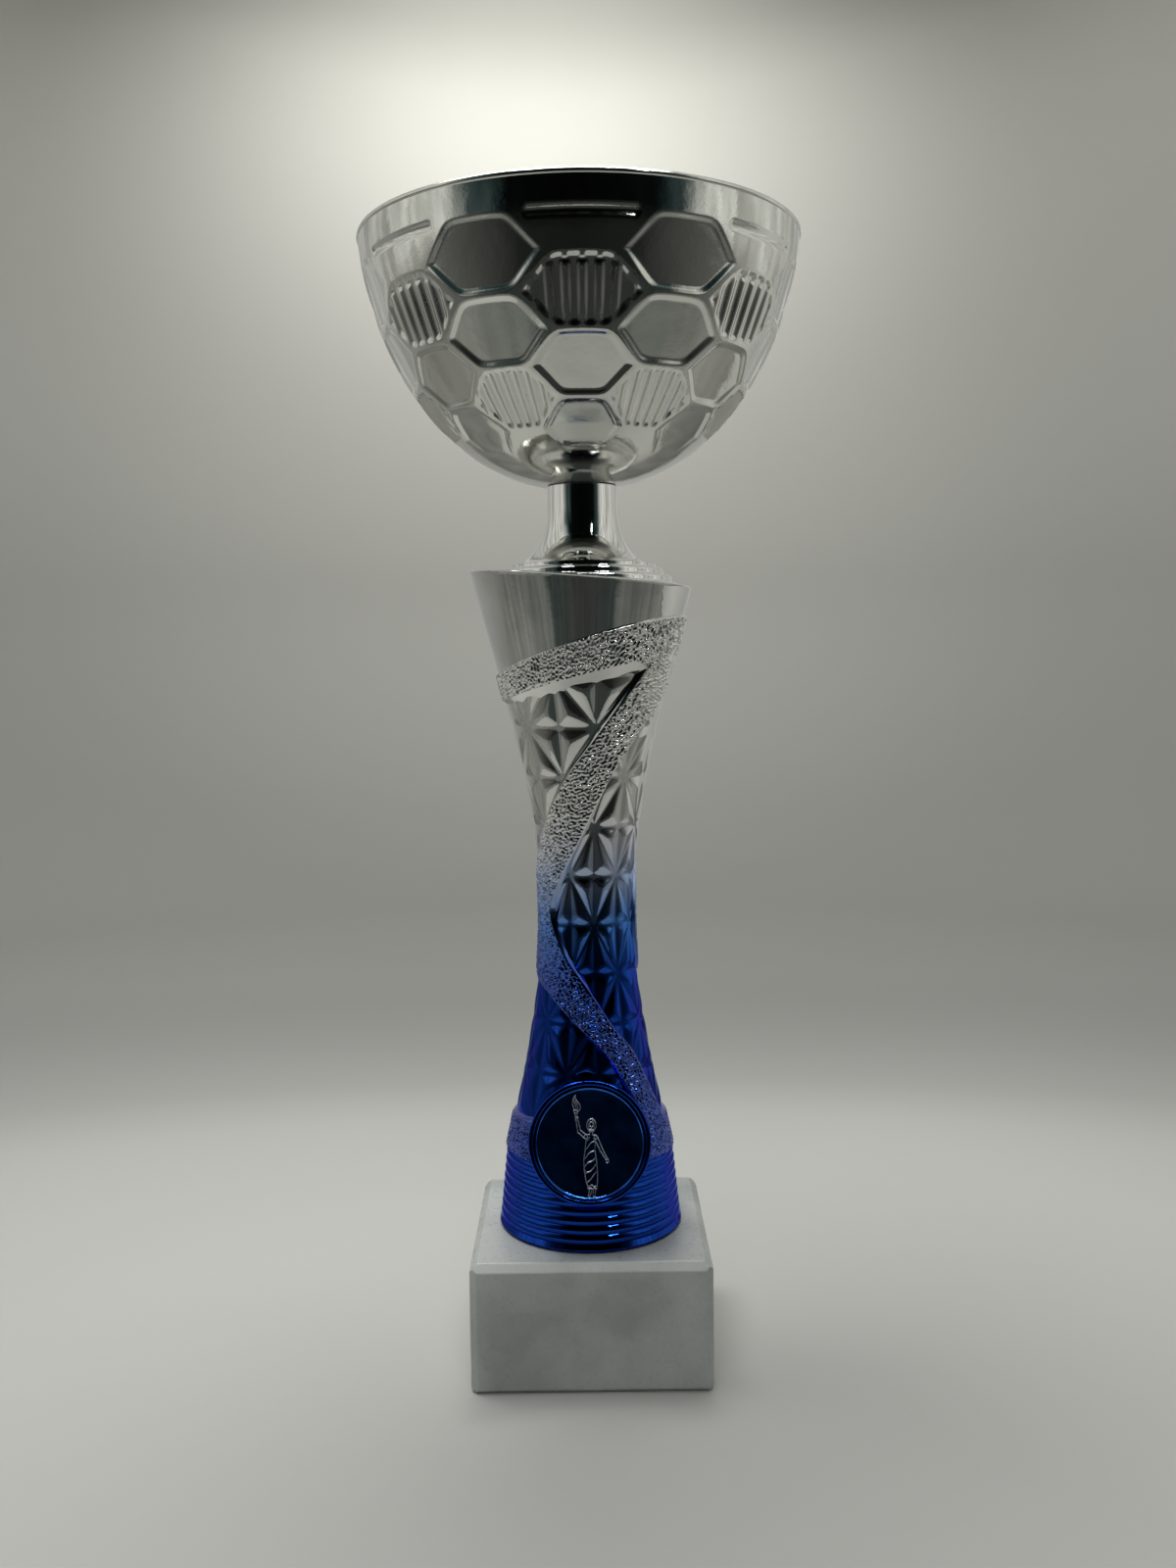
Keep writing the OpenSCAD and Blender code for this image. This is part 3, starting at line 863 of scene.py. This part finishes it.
def build_riser():
    """The stepped riser with its flaring neck."""
    steps = [(22.1, 182.3), (20.7, 184.0), (18.7, 185.7)]
    skirt_r = 20.5
    flare_r, flare_z, flare_top = 17.0, 186.7, 200.0
    neck_r, wall, web = 8.1, 1.8, 3.0
    top = RISER_HIGH.z
    low = RISER_LOW.z
    hole = ROD_R + 0.08

    def flare(inset):
        turns = np.radians(np.linspace(0, 90, 28))
        return [(flare_r - inset - (flare_r - neck_r) * math.sin(t),
                 flare_top - (flare_top - flare_z) * math.cos(t)) for t in turns]

    corners = [(skirt_r, low), (steps[0][0], low)]
    for (radius, z), following in zip(steps, (steps[1][0], steps[2][0], flare_r)):
        corners += [(radius, z), (following, z)]
    corner_r = [0.1, 0.15] + [0.8, 0.5] * len(steps)
    neck = flare(0)
    corners += neck + [(neck_r, top), (hole, top), (hole, top - web), (neck_r - wall, top - web)]
    corner_r += [0.0] * len(neck) + [0.12, 0.1, 0, 0]
    lining = [(r, z - wall) for r, z in flare(wall)][::-1]
    deck = steps[0][1] - 2.2
    corners += lining + [(flare_r - wall, deck), (skirt_r, deck)]
    corner_r += [0.0] * len(lining) + [0, 0]
    part = ("column", "riser", "riser_chrome")
    lathe("riser_body", rounded(corners, corner_r), RISER_METAL, part, 256, 60)


# ---- bowl

SHEET = 0.7
BEAD_R = 0.65
BOWL_R = BOWL_HIGH.x - BEAD_R + SHEET / 2
BOWL_DROP = RIM_Z - SEAT_Z + 0.5
BOWL_P = 1.65
BOWL_Q = 2.3
BOWL_HOLE_R = ROD_R + 0.08
CELLS = 14
CELL_STEP = 360 / CELLS
CELL_AZIMUTH = 0.9
PATTERN_TOP = 253.0
PATTERN_LOW = 209.0
ROW_DROP = 15.9
ROW_SHRINK = 0.95
CELL_DEPTH = 0.48
CELL_BEVEL = 1.2
CELL_FLAT = 0.42
CORNER = 30.0
SLOT_Z = 252.2
SLOT_HALF = 1.35
SLOT_REACH = 10.6
SKIN_STEP = 0.36
DISH_HALF_X, DISH_HALF_Z = 11.5, 7.6
BAR_CUT = 0.7


def row_number(z):
    """Which row of cells a height falls in, as a real number that grows downwards."""
    below = np.maximum(PATTERN_TOP - z, -20)
    return (ROW_DROP - np.sqrt(ROW_DROP**2 - 4 * ROW_SHRINK * np.minimum(below, 60))) / (2 * ROW_SHRINK)


def bowl_profile():
    """Radius, height and outward normal of the bowl's skin, from its hole up to the rim."""
    turn = np.radians(np.linspace(0, 90, 6000))
    radius = BOWL_R * np.cos(turn) ** (2 / BOWL_Q)
    z = RIM_Z - BOWL_DROP * np.sin(turn) ** (2 / BOWL_P)
    keep = z > SEAT_Z
    radius, z = radius[keep][::-1], z[keep][::-1]
    radius = np.concatenate([[BOWL_HOLE_R], radius])
    z = np.concatenate([[SEAT_Z], z])
    length = np.concatenate([[0], np.cumsum(np.hypot(np.diff(radius), np.diff(z)))])
    start = np.interp(PATTERN_LOW, z, length)
    end = np.interp(PATTERN_TOP + 1.4, z, length)
    stops = np.concatenate([np.linspace(0, start, 30)[:-1], np.arange(start, end, SKIN_STEP),
                            np.linspace(end, length[-1] - 0.5, 9)])
    radius, z = np.interp(stops, length, radius), np.interp(stops, length, z)
    normal = np.stack([np.gradient(z, stops), -np.gradient(radius, stops)], -1)
    normal /= np.linalg.norm(normal, axis=1)[:, None]
    return radius, z, normal


def bowl_relief(azimuth, radius, z, slope):
    """Depth of the stamped football pattern; slope is the skin's length over its height."""
    across = (azimuth - CELL_AZIMUTH) / CELL_STEP
    row = row_number(z)
    row_mm = (ROW_DROP - 2 * ROW_SHRINK * row) * slope
    column_mm = np.radians(CELL_STEP) * radius
    nearest = [9.0, 0.0, 0.0, 0.0, 0.0]
    for column in (np.floor(across), np.floor(across) + 1):
        odd = column % 2
        centre = np.round(row - odd / 2) + odd / 2
        u, v = np.broadcast_arrays(across - column, row - centre)
        far = np.maximum(np.abs(v), np.abs(v) / 2 + 0.75 * np.abs(u))
        found = (far, u, v, centre, odd)
        nearest = [np.where(far < nearest[0], new, old) for new, old in zip(found, nearest)]
    _, best_u, best_v, best_centre, best_odd = nearest
    upright, slanting = np.abs(best_v), np.abs(best_v) / 2 + 0.75 * np.abs(best_u)
    inside = 0.5 - np.log(np.exp(CORNER * upright) + np.exp(CORNER * slanting)) / CORNER
    top_cell = (best_odd == 0) & (best_centre == 0)
    inside = np.where((best_centre < 0) | (best_centre > 3), -1.0, inside)
    inside_mm = inside * row_mm
    past = np.maximum(np.abs(best_u) * column_mm - SLOT_REACH, 0)
    slot = SLOT_HALF - np.hypot(past, (z - SLOT_Z) * slope)
    inside_mm = np.where(top_cell, slot, inside_mm)
    depth = CELL_DEPTH * smooth((inside_mm - np.where(top_cell, 0.0, 0.35)) / CELL_BEVEL)
    dish = 1 - (best_u * column_mm / DISH_HALF_X) ** 2 - (best_v * row_mm / DISH_HALF_Z) ** 2
    depth += CELL_FLAT * np.where(top_cell | (inside_mm < 0), 0, np.maximum(dish, 0) ** 1.3)

    striped_high = (best_odd == 0) & (best_centre == 1)
    striped_low = (best_odd == 1) & (best_centre == 2.5)
    bar = np.zeros_like(depth)
    for k in range(-3, 4):
        side = np.abs(best_u - k / 6) * column_mm
        limit = np.clip(2 * (0.5 - 0.75 * abs(k) / 6) - 0.1, 0, 0.44)
        top = np.where(striped_high, np.minimum(limit, 0.3), limit)
        over = np.maximum(best_v - limit, -best_v - top).clip(0) * row_mm
        bar = np.maximum(bar, smooth(1.08 - np.hypot(side, over) / (0.066 * column_mm)))
        dot = np.hypot(side, (best_v + min(limit, 0.42)) * row_mm)
        bar = np.maximum(bar, np.where(striped_high & (abs(k) < 3), smooth(1.05 - dot / 1.0), 0))
    depth *= 1 - BAR_CUT * np.where(striped_high | striped_low, bar, 0)
    return depth * smooth((z - PATTERN_LOW - 0.5) / 5)


def build_bowl():
    """The stamped bowl: both skins carry the pattern, and a rolled bead closes the rim."""
    radius, z, normal = bowl_profile()
    slope = 1 / np.maximum(normal[:, 0], 0.25)

    def skin(azimuth, inset, every=1):
        """Points of a skin and their normals, from slopes taken on the grid itself."""
        r, h, out = radius[::every, None], z[::every, None], normal[::every]
        depth = bowl_relief(azimuth[None, :], r, h, slope[::every, None]) + inset
        points = around(azimuth[None, :], r - depth * out[:, 0:1], h - depth * out[:, 1:2])
        across = np.gradient(points, azimuth, axis=1)
        up = np.gradient(points, axis=0)
        faced = np.cross(across, up)
        faced /= np.linalg.norm(faced, axis=-1)[..., None]
        return points[:, 1:-1], faced[:, 1:-1]

    for name, middle, columns in (("front", 0, 478), ("back", 180, 300)):
        azimuth = middle - 90 + 180 / columns * np.arange(-1, columns + 2)
        points, faced = skin(azimuth, 0.0)
        faces = grid_faces(*points.shape[:2], loop_columns=False)
        piece = mesh_piece(f"bowl_outer_skin_{name}", points, faces, BOWL_METAL, BOWL)
        piece.data.normals_split_custom_set_from_vertices(faced.reshape(-1, 3).tolist())

    azimuth = np.arange(-1, 481) * 360 / 480
    inner, _ = skin(azimuth, SHEET, 2)
    inner[0] = around(azimuth[1:-1], BOWL_HOLE_R, SEAT_Z + SHEET)
    inner[-1] = around(azimuth[1:-1], BOWL_R - SHEET, RIM_Z - 0.5)
    grid_piece("bowl_inner_skin", inner[::-1], BOWL_METAL, BOWL, loop_rows=False)
    bead = [(BOWL_R - SHEET / 2 + BEAD_R * math.cos(t), RIM_Z - BEAD_R + BEAD_R * math.sin(t))
            for t in np.radians(np.arange(0, 360, 15))]
    lathe("bowl_rolled_rim", bead, BOWL_METAL, BOWL, 360)
    outer_r = BOWL_HOLE_R + 0.01
    hole = [(BOWL_HOLE_R, SEAT_Z), (outer_r, SEAT_Z), (outer_r, SEAT_Z + SHEET),
            (BOWL_HOLE_R, SEAT_Z + SHEET)]
    lathe("bowl_hole_edge", hole, BOWL_METAL, BOWL, 96, sharp=40)


# ---- pieces that stay as the frame has them

def dress_frame():
    """Gives the CAD pieces that are shown as they are their materials."""
    looks = {"base_washer": ZINC, "lock_washer": ZINC, "base_nut": ZINC, "bowl_washer": ZINC,
             "bowl_nut": ZINC, "foot_plug": PLASTIC, "emblem_tape": FOAM}
    for node, material in looks.items():
        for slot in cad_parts[node].material_slots:
            slot.material = material


# ---- studio

def stage_mesh(name, points, faces, material, seen=True, diffuse=True, glossy=True):
    """A part of the studio; one that isn't seen by the camera lets lamps shine through it."""
    piece = mesh_object(name, points, faces, material)
    rays = {"camera": seen, "shadow": seen, "transmission": seen, "diffuse": diffuse, "glossy": glossy}
    for kind, shown in rays.items():
        setattr(piece, "visible_" + kind, shown)


STAGE_AZIMUTH = np.arange(96)[None, :] * 360 / 96
DULL = {"Roughness": 1.0, "Specular_IOR_Level": 0.0}
PAPER_LENGTH = 1.6
PAPER_NARROWING = 0.55
DRUM_R = 600
FLAG_R = 560
REFLECTION_RING_R = (590.0, 240.0)


def build_stage():
    """A pale floor that curves up into a round backdrop, with light and shade painted into its colour
    from the middle outwards and up.
    """
    s = Shader("studio_paper", Specular_IOR_Level=0.0, Roughness=0.8)
    along = s.math("DIVIDE", s.math("ADD", s.reach(PAPER_NARROWING), s.height()), PAPER_LENGTH)
    # Painted light and shade: brightest under the trophy, darker out across the floor, lighter up the
    # backdrop and darker again at its top.
    painted_backdrop_light = s.ramp(
        along, (0.0, 0.55, 0.53), (0.045, 0.5, 0.48), (0.104, 0.47, 0.455),
        (0.134, 0.35, 0.34), (0.19, 0.28, 0.27), (0.25, 0.29, 0.28),
        (0.44, 0.37, 0.355), (0.53, 0.36, 0.345), (0.67, 0.53, 0.505),
        (0.77, 0.53, 0.5), (0.86, 0.64, 0.6), (0.915, 0.58, 0.54),
        (0.95, 0.36, 0.335), (1.0, 0.28, 0.26))
    painted_backdrop_light.node.color_ramp.interpolation = "B_SPLINE"
    s.set("Base Color", painted_backdrop_light)
    s.bump((s.noise(1.2, 3), 0.004))
    floor_r, curve_r, wall_top = 620, 230, 1250
    profile = [(0.5, 0), (60, 0), (200, 0), (400, 0)]
    profile += [(floor_r + curve_r * math.sin(t), curve_r * (1 - math.cos(t)))
                for t in np.radians(np.linspace(0, 90, 20))]
    profile.append((floor_r + curve_r, wall_top))
    radii, heights = np.array(profile, dtype=float).T
    points = around(STAGE_AZIMUTH, radii[::-1, None], heights[::-1, None])
    stage_mesh("studio_sweep", points, capped_faces(points, bottom=False), s.material)


def glow_drum():
    """What the chrome sees of the room: a drum of dim light that only mirrors see.

    It is darkest in front, behind the photographer, and brightest at the back.
    """
    s = Shader("room_glow", Base_Color=(0, 0, 0, 1), Emission_Strength=1.0, **DULL)
    side = s.side()
    wander = s.math("MULTIPLY", s.math("SUBTRACT", s.noise(160, 3, stretch=(1, 1, 0.25)), 0.5), 0.16)
    high = s.ramp(
        s.math("ADD", side, wander), (0.0, 0.001), (0.215, 0.002, 0.003, 0.003),
        (0.25, 0.02, 0.035, 0.035), (0.285, 0.05, 0.07, 0.07), (0.315, 0.34, 0.35, 0.33),
        (0.36, 0.66, 0.62), (0.5, 0.56, 0.52), (0.62, 0.54, 0.51),
        (0.74, 0.42, 0.4))
    streak = s.ramp(s.noise(42, 3, stretch=(1, 1, 0.12)), (0.3, 0.55), (0.7, 1.5))
    low = s.ramp(
        side, (0.0, 0.016, 0.018, 0.016), (0.2, 0.026, 0.029, 0.027), (0.3, 0.11, 0.105),
        (0.48, 0.27, 0.255), (0.6, 0.52, 0.49), (0.75, 0.61, 0.585),
        (1.0, 0.68, 0.65))
    lean = s.ramp(s.share(s.turn(), -math.pi, math.tau), (0.12, 0.52), (0.22, 0.5), (0.3, 0.62),
                  (0.72, 0.62), (0.77, 1.0), (0.82, 1.0), (0.9, 0.62))
    upper = s.share(s.height(), 0.15, 0.1)
    s.set("Emission Color", s.mix(upper, s.times(low, lean), s.times(high, streak)))
    z = np.array([-20.0, 100.0, 400.0, 1500.0])[:, None]
    stage_mesh("room_drum", around(STAGE_AZIMUTH, DRUM_R, z), grid_faces(4, 96), s.material,
               seen=False, diffuse=False)


def floor_flag():
    """The floor as the chrome sees it, a painted reflection on a ring that only mirrors see: dark in
    front, with soft radial streaks at the sides.
    """
    s = Shader("floor_reflection", **DULL)
    reach = s.reach()
    turn = s.turn()
    widening = s.share(reach, 0.38, 0.21)
    edge = s.math("SUBTRACT", s.side(), s.math("MULTIPLY", widening, 0.17))
    reflected_floor = s.ramp(
        edge, (0.0, 0.085), (0.185, 0.085, 0.108, 0.104), (0.215, 0.3, 0.31, 0.3),
        (0.31, 0.33, 0.34, 0.33), (0.38, 0.47, 0.45), (0.55, 0.52, 0.5),
        (0.66, 0.34, 0.33))
    right = s.ramp(s.share(turn, -math.pi, math.tau), (0.7, 0.65), (0.76, 0.8), (0.8, 0.8),
                   (0.86, 0.65))
    polar = s.node("ShaderNodeCombineXYZ", X=turn, Y=s.math("MULTIPLY", reach, 0.5))
    streak = s.node("ShaderNodeTexNoise", Vector=polar.outputs[0], Scale=11.0, Detail=3.0, Roughness=0.6)
    streaks = s.ramp(streak.outputs["Fac"], (0.3, 0.72), (0.7, 1.2))
    # Painted reflection: the floor seen in the chrome, dark in front, lighter to the right, streaked.
    s.set("Base Color", s.times(s.times(reflected_floor, right), streaks))
    ring = around(STAGE_AZIMUTH, np.array(REFLECTION_RING_R)[:, None], 1.0)
    stage_mesh("floor_flag", ring, grid_faces(2, 96), s.material, seen=False, diffuse=False)


def front_flag():
    """The dark room in front, which keeps soft light off the front of the marble."""
    s = Shader("dark_room", Base_Color=(0.004, 0.004, 0.004, 1), **DULL)
    points = around(np.linspace(-75, 75, 32)[None, :], FLAG_R, np.array([3.0, 900.0])[:, None])
    stage_mesh("front_flag", points, grid_faces(2, 32, loop_columns=False), s.material,
               seen=False, glossy=False)


def area_light(name, place, target, size, watts, colour, spread=180, diffuse=True, glossy=True):
    """A rectangular lamp that shines at a target; it can leave out plain or mirror-like surfaces."""
    light = bpy.data.lights.new(name, "AREA")
    light.shape = "RECTANGLE"
    light.size, light.size_y = size
    light.energy = watts
    light.color = colour
    light.spread = math.radians(spread)
    lamp = bpy.data.objects.new(name, light)
    bpy.context.collection.objects.link(lamp)
    lamp.location = place
    lamp.rotation_euler = (Vector(target) - Vector(place)).to_track_quat("-Z", "Y").to_euler()
    lamp.visible_diffuse = diffuse
    lamp.visible_glossy = glossy


COOL = (0.93, 0.97, 1.0)


def build_lights():
    """A soft box behind the trophy, a wash on the wall, a fill for the marble and chrome highlights."""
    area_light("soft_box", (-0.08, 0.13, 0.86), (0, 0, 0.1), (0.55, 0.42), 6.6, (1.0, 0.995, 0.97))
    world = bpy.data.worlds.new("studio")
    world.use_nodes = True
    background = world.node_tree.nodes["Background"].inputs
    background["Color"].default_value = (0.8, 0.81, 0.78, 1)
    background["Strength"].default_value = 0.35
    bpy.context.scene.world = world
    area_light("wall_wash", (-0.04, 0.52, 0.84), (-0.04, 0.85, 0.58), (0.22, 0.08), 0.6,
               (1.0, 0.99, 0.95), 84)
    glow_drum()
    floor_flag()
    front_flag()
    area_light("lamp_bar", (0.02, -0.17, 0.52), (0, 0, 0.15), (0.36, 0.01), 0.55, COOL,
               diffuse=False)
    area_light("lamp_bar_high", (0.27, -0.33, 0.66), (0, 0, 0.1), (0.13, 0.02), 0.26, (0.95, 0.98, 1.0),
               diffuse=False)
    area_light("front_fill", (-0.02, -0.45, 0.5), (0, 0, 0.05), (0.4, 0.06), 0.74,
               (0.97, 1.0, 0.99), glossy=False)
    area_light("lamp_spot", (0.16, -0.26, 0.42), (0, 0, 0.2), (0.008, 0.08), 0.07, COOL,
               diffuse=False)


# The photograph's camera, solved from the marble's edges and the rim; millimetres and degrees.
CAMERA_BACK = 331.4
CAMERA_HEIGHT = 164.5
CAMERA_SIDE = 0.6
CAMERA_PITCH = 4.99
CAMERA_ROLL = -0.7
CAMERA_LENS = 32.3


def build_camera():
    """The camera that matches the photograph."""
    data = bpy.data.cameras.new("camera")
    data.lens = CAMERA_LENS
    data.sensor_width = 36
    data.clip_start, data.clip_end = 0.01, 10
    camera = bpy.data.objects.new("camera", data)
    bpy.context.collection.objects.link(camera)
    turn = Matrix.Rotation(math.radians(90 - CAMERA_PITCH), 4, "X")
    roll = Matrix.Rotation(math.radians(CAMERA_ROLL), 4, "Z")
    place = Matrix.Translation(Vector((CAMERA_SIDE, -CAMERA_BACK, CAMERA_HEIGHT)) * MM)
    camera.matrix_world = place @ turn @ roll
    bpy.context.scene.camera = camera
    bpy.context.scene.view_settings.view_transform = "Standard"


build_base()
build_rod()
build_foot()
build_crystal()
build_collar()
build_top_band()
build_ribbon("column_ribbon_front", 0, 168)
build_ribbon("column_ribbon_back", 180, 158.3)
build_bottom_band()
build_holder()
build_disc()
build_figure()
build_riser()
build_bowl()
dress_frame()
build_stage()
build_lights()
build_camera()
